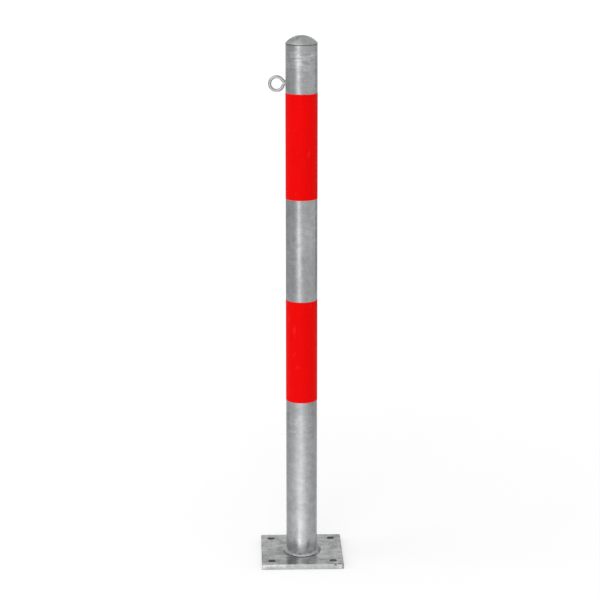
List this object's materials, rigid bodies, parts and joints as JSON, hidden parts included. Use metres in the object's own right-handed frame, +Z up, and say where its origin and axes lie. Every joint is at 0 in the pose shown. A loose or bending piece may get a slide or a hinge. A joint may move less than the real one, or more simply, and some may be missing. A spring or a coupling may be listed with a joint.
{
  "type": "barrier post",
  "caption": "Round galvanised steel barrier post with dome cap, side chain eye, red film bands and a square base plate for anchors.",
  "frame": {"origin": "on the tube's axis at the underside of the base plate", "axes": "+Z up along the tube, chain eye towards -X, film laps towards +Y"},
  "size_m": [0.16, 0.16, 1.026],
  "materials": {
    "hot_dip_zinc": "hot-dip galvanised steel, satin, faint spangle and run marks",
    "plate_zinc": "hot-dip galvanised steel plate, streaked",
    "weld_zinc": "galvanised weld bead",
    "cap_zinc": "galvanised pressed steel, duller than the tube",
    "bright_zinc": "bright zinc-plated wire",
    "insert_zinc": "zinc-plated threaded insert",
    "red_film": "smooth red self-adhesive film"
  },
  "bodies": {
    "root": {"post_tube": "hot_dip_zinc", "base_plate": "plate_zinc", "base_weld": "weld_zinc", "domed_cap": "cap_zinc", "chain_eye": "bright_zinc", "rivet_nut": "insert_zinc", "upper_red_band": "red_film", "lower_red_band": "red_film"}
  },
  "joints": []
}
